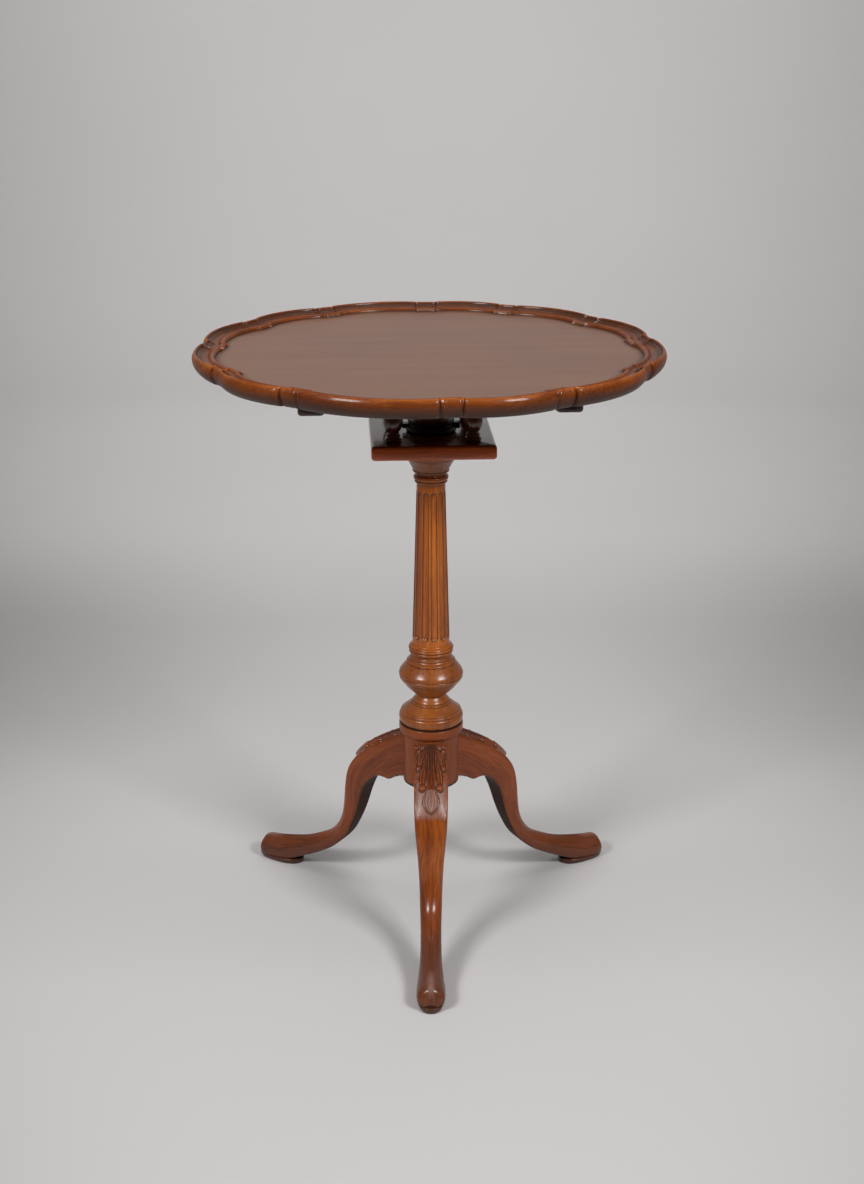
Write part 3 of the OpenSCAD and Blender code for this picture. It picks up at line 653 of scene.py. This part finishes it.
def post(name):
    """A small vase-shaped post of the cage."""
    foot, head = lower_high[2], cage_roof
    line = [(3, foot - 2), (8.6, foot - 2), (8.7, foot)] + torus(8.5, foot + 0.2, foot + 4.2, 1.2, 6)
    line += [(7.4, foot + 4.6), (7.2, foot + 5.2)] + torus(7.2, foot + 5.6, foot + 8.4, 1.0, 6)
    line += [(6.6, foot + 8.8), (6.3, foot + 10.6)]
    line += list(smooth_line([(6.8, foot + 11.6), (8.6, foot + 14), (10.6, foot + 18.6), (11.2, foot + 24),
                              (10.2, foot + 31), (7.8, foot + 38), (6.3, foot + 44)], 4))
    line += torus(6.2, foot + 45, foot + 48.2, 1.2, 6)
    line += [(6.0, foot + 49), (6.2, foot + 51.5), (7.2, foot + 54.6)]
    line += torus(7.6, foot + 55.2, foot + 59.4, 1.2, 6) + [(7.8, head - 1), (7.8, head + 2), (3, head + 2)]
    low, high = node_box(name)
    centre = (low[:2] + high[:2]) / 2
    verts, faces = lathe(soften(line, 0.3), 72, centre)
    # Painted highlight: the foot rings lighter, in the colour of raw wood.
    worn = np.interp(verts[:, 2], [foot + 8.6, foot + 9.6], [0.7, 0])
    make_piece(name + "_turned", (verts, faces), post_wood_shaded, "cage", [name],
               extra={"wear_and_painted_light": worn})


# ---- boards ----------------------------------------------------------------


def round_square(half_x, half_y, r, per_corner=10, per_side=14):
    """A rectangle with round corners, as points from the middle of its +X side."""
    out = []
    corners = [(half_x - r, half_y - r, 0), (-half_x + r, half_y - r, 90),
               (-half_x + r, -half_y + r, 180), (half_x - r, -half_y + r, 270)]
    for i, (cx, cy, a0) in enumerate(corners):
        turn = [(cx + r * math.cos(math.radians(a0 + 90 * k / per_corner)),
                 cy + r * math.sin(math.radians(a0 + 90 * k / per_corner))) for k in range(per_corner + 1)]
        nx, ny, na = corners[(i + 1) % 4]
        goal = (nx + r * math.cos(math.radians(na)), ny + r * math.sin(math.radians(na)))
        side = [(turn[-1][0] + (goal[0] - turn[-1][0]) * k / per_side,
                 turn[-1][1] + (goal[1] - turn[-1][1]) * k / per_side) for k in range(1, per_side)]
        out += turn + side
    return np.array(out)


def block_size(name):
    """Lowest and highest corner of a CAD block, with the cage's turn taken off."""
    co = np.array([v.co for v in frame["nodes"][name].data.vertices]) / MM
    flat = turned(co, -CAGE_TURN)
    return flat.min(0), flat.max(0)


def lower_block():
    """The cage's lower board, with round edges and a hole for the column."""
    low, high = block_size("lower_block")
    b, t = low[2], high[2]
    half = high[0]
    edge = arc((4.2, b + 4.2), 4.2, -90, -180, 7) + arc((3.6, t - 3.6), 3.6, 180, 90, 7)
    rings = []
    outline = round_square(half, half, 5)
    count = len(outline)
    angles = np.arctan2(outline[:, 1], outline[:, 0])
    bore = 20.3
    hole = np.column_stack([bore * np.cos(angles), bore * np.sin(angles)])
    rings.append(np.column_stack([hole, np.full(count, b)]))
    for inset, z in edge:
        rings.append(np.column_stack([round_square(half - inset, half - inset, 2.2), np.full(count, z)]))
    rings.append(np.column_stack([hole, np.full(count, t)]))
    verts, faces = loft(rings, closed=True)
    # Painted shade on the board's top, under the table's top.
    block_top_shade = np.where(verts[:, 2] > t - 0.5, -0.75, 0)
    make_piece("cage_floor", (turned(verts, CAGE_TURN), faces), cage_wood, "cage",
               ["lower_block"], extra={"wear_and_painted_light": block_top_shade})


# ---- legs ------------------------------------------------------------------

LEG_AZIMUTHS = {"leg_front": -90, "leg_right": 30, "leg_left": 150}
# Upper edge (r, z), lower edge (r, z), width, crown, squareness above and below.
LEG_STATIONS = np.array([
    (26, 235, 26, 175.2, 41.6, 2.0, 12, 12),
    (35, 231, 36, 174.4, 41.6, 3.0, 12, 12),
    (51, 221.5, 50, 166, 41.6, 4.6, 12, 12),
    (68, 210.6, 58, 166.6, 41.4, 5.4, 12, 11),
    (84, 199, 66, 166.5, 41, 5.6, 12, 10),
    (97, 187.6, 74, 162, 40.6, 4.6, 12, 9),
    (106.5, 176, 82, 155, 40, 2.8, 12, 9),
    (112.6, 163.6, 88, 146.5, 38.8, 1.4, 11, 8.5),
    (116.6, 150, 92, 137, 36.8, 0.8, 8, 8),
    (120.3, 133.5, 95.4, 127, 34, 0.6, 5, 8),
    (123.6, 116, 99.8, 111.5, 31, 0.4, 3.4, 7.5),
    (128, 97.4, 105, 96.5, 28.8, 0.2, 2.4, 7),
    (134.7, 82, 111.6, 81.5, 27.4, 0, 1.95, 6.5),
    (144, 69, 120, 66, 26.4, 0, 1.75, 6),
    (154, 60.6, 132, 52.6, 25.4, 0, 1.65, 5.5),
    (168, 53, 148, 38.8, 24.8, 0, 1.6, 4.8),
    (187, 44.6, 168, 26.6, 25, 0, 1.5, 4.2),
    (208, 39.0, 190, 15.6, 26.6, 0, 1.4, 4),
    (226, 35.2, 210, 6.6, 30, 0, 1.35, 4.4),
    (239, 33.0, 227, 4.6, 32.8, 0, 1.4, 4.8),
    (248, 31.4, 240, 4.4, 33.4, 0, 1.5, 4.8),
    (254.4, 27.4, 248.5, 4.4, 32, 0, 1.7, 4.4),
    (257.4, 19.8, 254.2, 4.4, 27, 0, 2.1, 3.8),
    (258.4, 11.0, 256.6, 4.6, 17, 0, 2.5, 3),
])
TOP_SAMPLES, UNDER_SAMPLES = 210, 50


def half_ellipse(width, height, power, count, crown, upper):
    """Half of a squared-off oval, evenly spaced: place across, height, and way along it from its middle."""
    a = np.linspace(0, math.pi, 721)
    x = width / 2 * np.sign(np.cos(a)) * np.abs(np.cos(a)) ** (2 / power)
    u = height / 2 * np.abs(np.sin(a)) ** (2 / power)
    if upper:
        on_top = np.clip((u / (height / 2) - 0.5) / 0.45, 0, 1)
        u = u + crown * np.clip(1 - (2 * x / width) ** 2, 0, 1) * on_top
    else:
        u = -u
    length = np.concatenate([[0], np.cumsum(np.hypot(np.diff(x), np.diff(u)))])
    even = np.linspace(0, length[-1], count)
    x, u = np.interp(even, length, x), np.interp(even, length, u)
    return x, u, even - length[-1] / 2


def stroke(x, v, line, widths, height, veins=0.0, end=0.0):
    """Height of a carved lobe along a line: round across, with cut veins and a curled drop at its end."""
    p = smooth_line(line, 8)
    w = np.interp(np.linspace(0, 1, len(p)), np.linspace(0, 1, len(widths)), widths)
    best = np.full(x.shape, 1e9)
    share = np.zeros(x.shape)
    side = np.zeros(x.shape)
    for i, (a, b) in enumerate(zip(p, p[1:])):
        d = b - a
        t = np.clip(((x - a[0]) * d[0] + (v - a[1]) * d[1]) / (d @ d), 0, 1)
        dx, dv = x - a[0] - t * d[0], v - a[1] - t * d[1]
        dist = np.hypot(dx, dv) / (w[i] + (w[i + 1] - w[i]) * t)
        near = dist < best
        best = np.where(near, dist, best)
        share = np.where(near, (i + t) / (len(p) - 1), share)
        side = np.where(near, dist * np.sign(d[0] * dv - d[1] * dx), side)
    body = height * np.sqrt(np.maximum(0, 1 - best**2)) * (0.55 + 0.45 * share)
    if veins:
        body *= 1 - 0.36 * np.abs(np.cos(math.pi * veins * side)) ** 3 * (best < 1)
    cut = np.exp(-(((best - 1.1) / 0.16) ** 2))
    if end:
        tip = p[-1]
        ball = np.hypot(x - tip[0], v - tip[1]) / end
        body = np.maximum(body, (height + 1.3) * np.sqrt(np.maximum(0, 1 - ball**2)))
        cut = np.maximum(cut * (ball > 1), np.exp(-(((ball - 1.08) / 0.16) ** 2)))
    return body, cut


def carving(x, v):
    """The knee's carving, at x across the leg and v down it from the hub.

    Returns the height of the surface, how pale its punched ground is, partly a painted sheen, and where its
    cuts are given painted shade.
    """
    ax = np.abs(x)
    relief, cuts = np.zeros(x.shape), np.zeros(x.shape)
    lobes = [
        # Line down one side, half widths, height, veins and end drop.
        ([(6.5, 1.5), (10.5, 2.5), (14.2, 5), (15.2, 9.8)], (2.2, 2.6, 2.6, 2.4), 2.2, 0, 3.9),
        ([(12.0, 12), (16.4, 16), (18.2, 22)], (2.0, 2.4, 1.1), 1.8, 0, 0),
        ([(7.4, 9), (11.8, 17), (14.4, 26), (15.2, 34.5)], (2.8, 4.0, 3.4, 2.4), 2.6, 1.0, 3.7),
        ([(12.4, 38), (15.4, 44), (16.6, 51)], (1.6, 2.2, 1.0), 1.6, 0, 0),
        ([(6.8, 29), (9.8, 41), (11.1, 52), (10.6, 61)], (2.6, 4.0, 3.8, 2.8), 2.8, 1.0, 4.6),
    ]
    for line, widths, height, veins, end in lobes:
        body, cut = stroke(ax, v, line, widths, height, veins, end)
        relief = np.maximum(relief - 1.1 * cut, body)
        cuts = np.maximum(cuts * (body < 0.3), cut)
    # The middle plume, with cut veins that draw together towards the bud.
    half = np.interp(v, [0, 20, 45, 58, 66], [8.4, 7.6, 6.4, 5.0, 4.2])
    plume = 3.0 * np.sqrt(np.maximum(0, 1 - (x / half) ** 4)) * (v > -2) * (v < 67)
    plume *= 1 - 0.5 * np.abs(np.cos(math.pi * 3.5 * x / half)) ** 2
    relief = np.maximum(relief, plume)
    # The bud, widest below its shoulders and pointed at its tip.
    bud_half = np.interp(v, [64, 67, 71, 76, 80, 84, 88, 90.5, 92],
                         [4.0, 6.2, 8.8, 10.6, 10.2, 8.2, 4.8, 2.2, 0.01])
    inside = (v > 64) & (v < 92)
    edge = ax / bud_half
    bud = 4.2 * np.sqrt(np.maximum(0, 1 - edge**2)) * inside * np.clip((92 - v) / 3, 0, 1) ** 0.5
    bud *= 1 - 0.3 * np.abs(np.cos(math.pi * 2.5 * x / bud_half)) ** 4
    rim = np.exp(-(((ax - bud_half - 0.9) / 0.8) ** 2)) * (v > 66) * (v < 93)
    relief = np.maximum(relief - 1.4 * rim, bud)
    cuts = np.maximum(cuts, rim)
    # The plain band under the hub's collar.
    relief = np.maximum(relief, 2.0 * (np.abs(v - 0.6) < 1.7) * (ax < 19.8))
    sides = np.clip((19.4 - ax) / 1.0, 0, 1)
    depth = 1.9 * np.clip((99 - v) / 22, 0, 1) * np.clip((v + 4) / 3, 0, 1) * sides
    ground = np.clip(1 - relief / 0.5, 0, 1) * sides * np.clip((99 - v + 1.8 * np.sin(x * 1.9)) / 3.5, 0, 1)
    ripple = np.sin(5.1 * x + 1.3 * np.sin(2.3 * v)) * np.sin(4.7 * v + 1.7 * np.sin(2.9 * x))
    stipple = 0.22 * ripple * ground
    # The ground's paleness is partly a painted sheen: lightest round the bud and darker near the hub, as
    # painted shade; the bud takes the sheen too.
    pale = ground * np.interp(v, [25, 64, 78, 98], [0.12, 1, 0.85, 0.5])
    pale = np.maximum(pale, 0.6 * (bud > 0.4) * (bud >= relief - 0.01))
    return relief - depth + stipple, pale * (1 - 0.9 * cuts), cuts * (ax < 20) * (v < 96)


def leg_shape():
    """One leg along +X: its vertices and faces, its attributes, and which vertices are on its underside."""
    last = len(LEG_STATIONS) - 1
    dense = np.concatenate([np.linspace(0, 1, 10)[:-1], np.linspace(1, 8.2, 190)[:-1],
                            np.linspace(8.2, 19, 110)[:-1], np.linspace(19, last, 40)])
    fine = smooth_line(LEG_STATIONS, 16)
    index = np.linspace(0, last, len(fine))
    rows = np.column_stack([np.interp(dense, index, fine[:, k]) for k in range(fine.shape[1])])
    grid, across, crown_line, below_crown = [], [], [], []
    for tr, tz, br, bz, width, crown, power_up, power_down in rows:
        top, bottom = np.array([tr, tz]), np.array([br, bz])
        height = np.linalg.norm(top - bottom)
        up = (top - bottom) / height
        mid = (top + bottom) / 2
        x1, u1, s1 = half_ellipse(width, height, power_up, TOP_SAMPLES, crown, True)
        x2, u2, _ = half_ellipse(width, height, power_down, UNDER_SAMPLES + 2, 0, False)
        x = np.concatenate([x1, x2[::-1][1:-1]])
        u = np.concatenate([u1, u2[::-1][1:-1]])
        grid.append(np.column_stack([mid[0] + up[0] * u, x, mid[1] + up[1] * u]))
        across.append(np.concatenate([s1, np.full(UNDER_SAMPLES, 1e3)]))
        below_crown.append(u - height / 2)
        crown_line.append(top)
    grid, across = np.array(grid), np.array(across)
    crown_line = np.array(crown_line)
    step = np.hypot(*np.diff(crown_line, axis=0).T)
    down = np.concatenate([[0], np.cumsum(step)])
    down -= np.interp(34.6, crown_line[:, 0], down)
    v = np.repeat(down[:, None], grid.shape[1], axis=1)
    along = np.gradient(grid, axis=0)
    around = (np.roll(grid, -1, axis=1) - np.roll(grid, 1, axis=1)) / 2
    normal = np.cross(along, around)
    normal /= np.maximum(np.linalg.norm(normal, axis=2, keepdims=True), 1e-9)
    if (normal[len(grid) // 3, TOP_SAMPLES // 2] * [1, 0, 1]).sum() < 0:
        normal = -normal
    relief, ground, cuts = carving(across, v)
    relief[across > 100] = 0
    ground[across > 100] = 0
    grid = grid + normal * relief[..., None]
    verts, faces = loft(grid)
    ground = np.concatenate([ground.ravel(), [0, 0]])
    pad_parts, pad_count = pad_foot()
    verts, faces = join([(verts, faces), pad_parts])
    top_side = np.clip(1 - np.abs(across) / np.interp(v, [150, 230], [17, 7]), 0, 1)
    # Painted light: the top face below the carving lighter, as lit from above.
    painted_light_and_dirt = np.clip((v - 97) / 6, 0, 1) * np.clip((across < 100) * top_side * 3, 0, 1)
    painted_light_and_dirt *= np.interp(v, [160, 215, 250], [1, 0.5, 0])
    # Darker towards the foot.
    painted_light_and_dirt -= np.interp(v, [185, 260], [0, 0.62]) * (1 - painted_light_and_dirt)
    # Painted shade on the underside.
    under = (across > 100) * np.clip((0.8 - np.abs(normal[..., 1])) / 0.3, 0, 1)
    # Painted shade at the top of the knee under the hub, with dirt in the carving.
    knee = np.interp(v, [-5, 25, 62], [1.0, 0.7, 0]) * np.where(np.abs(across) < 22, 0.3, 0)
    knee += np.interp(v, [-5, 30, 66], [0.6, 0.5, 0]) * np.exp(-((across / 9) ** 2))
    # The carved cuts get painted shade as well.
    painted_light_and_dirt = np.clip(painted_light_and_dirt - under - knee - 0.9 * cuts * (across < 100), -1, 1)
    # Painted highlight on the tip of the foot, in the colour of the punched ground.
    foot_tip_highlight = 0.7 * np.exp(-((across / 4.5) ** 2)) * np.interp(v, [292, 308, 326, 336], [0, 1, 1, 0])
    ground[:-2] = np.maximum(ground[:-2], foot_tip_highlight.ravel())
    # The pad under the foot is darker.
    painted_light_and_dirt = np.concatenate([painted_light_and_dirt.ravel(), [0, -1], np.full(pad_count, -1.0)])
    below = np.concatenate([under.ravel() > 0.6, [False, False], np.zeros(pad_count, bool)])
    grain = np.stack([v, grid[..., 1], np.array(below_crown)], axis=-1).reshape(-1, 3) * MM
    pad_grain = np.array(pad_parts[0]) * MM
    grain = np.vstack([grain, grain[:1], grain[-1:], pad_grain])
    extra = {"ground": np.concatenate([ground, np.zeros(pad_count)]), "wear_and_painted_light": painted_light_and_dirt, "grain": grain}
    return (verts, faces), extra, below


def pad_foot():
    """The flat oval pad under a foot: its vertices and faces, and how many vertices it has."""
    low, high = node_box("leg_front")
    reach = -low[1]
    centre, half_l, half_w = reach - 33, 32, 16.5
    a = np.arange(96) / 96 * TURN
    rings = []
    side = [(6, 0.0), (1.9, 0.0), (0.5, 3.4), (0.0, 5.0), (0.5, 6.6), (2.2, 7.2), (6, 7.2)]
    for inset, z in soften(side, 0.6):
        rings.append(np.column_stack([
            centre + (half_l - inset) * np.sign(np.cos(a)) * np.abs(np.cos(a)) ** 0.84,
            (half_w - inset) * np.sign(np.sin(a)) * np.abs(np.sin(a)) ** 0.84, np.full(96, z)]))
    shape = loft(rings)
    return shape, len(shape[0])


def legs():
    """Three legs of one shape, turned to their places."""
    shape, extra, below = leg_shape()
    for name, azimuth in LEG_AZIMUTHS.items():
        piece = make_piece(name + "_carved", shape, leg_wood, "pedestal", [name],
                           math.radians(azimuth), extra, sharp=None)
        piece.data.materials.append(leg_under_shaded)
        for poly in piece.data.polygons:
            # Underside faces take the darker copy: painted shade.
            if all(below[i] for i in poly.vertices):
                poly.material_index = 1


# ---- battens ---------------------------------------------------------------


def batten(name):
    """A bar under the top whose underside rises towards its round ends."""
    low, high = block_size(name)
    mid_x, top = (low[0] + high[0]) / 2, high[2]
    half_w, half_l = (high[0] - low[0]) / 2, high[1]
    depth = top - low[2]
    keys = [(0, depth), (100, depth), (140, depth - 1.6), (180, depth - 7), (half_l - 4, depth - 11),
            (half_l, depth - 14.5)]
    line = smooth_line(keys, 6)
    round_end = half_w * np.sin(np.linspace(0, math.pi / 2 * 0.985, 14))
    ys = np.unique(np.concatenate([np.linspace(0, half_l - half_w, 30), half_l - half_w + round_end]))
    rings = []
    for y in np.concatenate([-ys[::-1], ys[1:]]):
        over = max(0.0, abs(y) - (half_l - half_w))
        w = math.sqrt(max(half_w**2 - over**2, 0.4))
        d = np.interp(abs(y), line[:, 0], line[:, 1])
        r = min(3.4, 0.45 * w, 0.45 * d)
        section = round_square(w, d / 2, r, 5, 5)
        ring = [mid_x + section[:, 0], np.full(len(section), y), top - d / 2 + section[:, 1]]
        rings.append(np.column_stack(ring))
    verts, faces = loft(rings)
    make_piece(name + "_bar", (turned(verts, CAGE_TURN), faces), batten_wood, "top", [name])


# ---- small CAD pieces that stay --------------------------------------------


def dress(name, material, bevel=0.3):
    """A CAD node that stays: soft edges and a better material."""
    obj = frame["nodes"][name]
    for slot in obj.material_slots:
        slot.material = material
    weld = obj.modifiers.new("weld", "WELD")
    weld.merge_threshold = 0.00002
    edge = obj.modifiers.new("bevel", "BEVEL")
    edge.width = bevel * MM
    edge.segments = 2
    edge.limit_method = "ANGLE"
    edge.angle_limit = math.radians(40)


tray_top()
batten("batten_left")
batten("batten_right")
column()
hub()
collar()
for post_name in ("post_front_left", "post_front_right", "post_rear_left", "post_rear_right"):
    post(post_name)
lower_block()
legs()
# The block under the top takes the darker copy: painted shade.
dress("upper_block", roof_wood_shaded, 0.8)
# The wedge's near-black wood is painted shade.
dress("cage_wedge", cage_shade_wood, 0.5)
dress("brace_plate", iron, 0.3)
for small in ("brace_screws", "batten_screws", "catch_leaf"):
    dress(small, steel, 0.1)
for small in ("keeper_plate", "keeper_screws", "catch_case", "catch_screws", "catch_bolt", "catch_knob"):
    dress(small, brass, 0.2)

# ---- studio ----------------------------------------------------------------


def backdrop_painted_shade(x, y):
    """How pale the studio's paper is, with painted shade: a soft darker band behind the table, darker sides,
    and darker far in front.
    """
    depth = np.interp(y, [-0.6, -0.2, 0.2, 0.6, 1.0, 1.5, 2.5, 4.5],
                      [0.57, 0.64, 0.6, 0.55, 0.54, 0.66, 0.77, 0.79])
    spread = np.abs(x) / (2.3 + np.maximum(y, -0.6)) / 0.24
    fall = np.interp(y, [-0.3, 0.3, 0.8, 1.5], [0.12, 0.2, 0.28, 0.24])
    side = 1 - fall * np.clip(spread, 0, 1.2) ** 2.4
    return depth * side * np.interp(y, [-2.5, -0.9], [0.12, 1])


def backdrop():
    """A pale round studio: a floor that curves up into a wall all round."""
    curve = arc((2.9, 1.6), (1.6, 1.6), -90, 0, 16) + [(4.5, 2.6), (4.5, 4.5)]
    profile = [(r, 0.0) for r in np.arange(0.05, 2.9, 0.05)] + curve
    segments = 192
    a = np.arange(segments) / segments * TURN
    rings = [np.column_stack([r * np.cos(a), r * np.sin(a), np.full(segments, z)]) for r, z in profile]
    verts, faces = loft(rings, end_cap=False)
    mesh = bpy.data.meshes.new("studio")
    mesh.from_pydata(verts.tolist(), [], faces)
    mesh.shade_smooth()
    # The paper's tone carries painted shade.
    tone = backdrop_painted_shade(verts[:, 0], verts[:, 1])
    mesh.attributes.new("tone", "FLOAT", "POINT").data.foreach_set("value", tone.astype(np.float32))
    n = Nodes("studio_paper")
    place = n.add("ShaderNodeTexCoord").outputs["Object"]
    shade = n.attribute("tone")
    shade = n.math("MULTIPLY", shade, n.span(n.noise(place, 1.1, 2.0), 0.3, 0.7, 0.985, 1.015))
    tint = n.add("ShaderNodeCombineColor", {"Red": n.math("MULTIPLY", shade, 1.005),
                                            "Green": n.math("MULTIPLY", shade, 0.985),
                                            "Blue": n.math("MULTIPLY", shade, 0.975)})
    n.put(n.shader.inputs["Base Color"], tint)
    n.shader.inputs["Roughness"].default_value = 0.85
    n.shader.inputs["Specular IOR Level"].default_value = 0.2
    mesh.materials.append(n.material)
    obj = bpy.data.objects.new("studio", mesh)
    bpy.context.scene.collection.objects.link(obj)


def soft_box(name, place, aim, size, power):
    """A rectangular light that points at aim."""
    light = bpy.data.lights.new(name, "AREA")
    light.shape = "RECTANGLE"
    light.size, light.size_y = size
    light.energy = power
    obj = bpy.data.objects.new(name, light)
    obj.location = place
    obj.rotation_euler = (Vector(aim) - Vector(place)).to_track_quat("-Z", "Y").to_euler()
    bpy.context.scene.collection.objects.link(obj)


backdrop()
soft_box("left_box", (-1.5, -1.57, 1.92), (0, 0, 0.4), (0.75, 0.5), 39)
soft_box("right_box", (1.42, -1.57, 1.92), (0, 0, 0.4), (0.75, 0.5), 39)
soft_box("overhead", (0, 0.3, 3.2), (0, 0, 0), (2.4, 2.4), 16)
soft_box("wall_wash", (0, 0.7, 3.3), (0, 4.5, 1.5), (4.0, 1.0), 62)

world = bpy.data.worlds.new("studio_air")
bpy.context.scene.world = world
world.use_nodes = True
world.node_tree.nodes["Background"].inputs[0].default_value = (0.97, 0.98, 1.0, 1)
world.node_tree.nodes["Background"].inputs[1].default_value = 0.12

camera = bpy.data.objects.new("camera", bpy.data.cameras.new("camera"))
camera.location = (0.0012, -2.0044, 1.1465)
camera.rotation_euler = (math.radians(70.05), 0, 0)
camera.data.lens = 54.04
camera.data.sensor_width = 36
bpy.context.scene.collection.objects.link(camera)
bpy.context.scene.camera = camera
bpy.context.scene.view_settings.view_transform = "Standard"
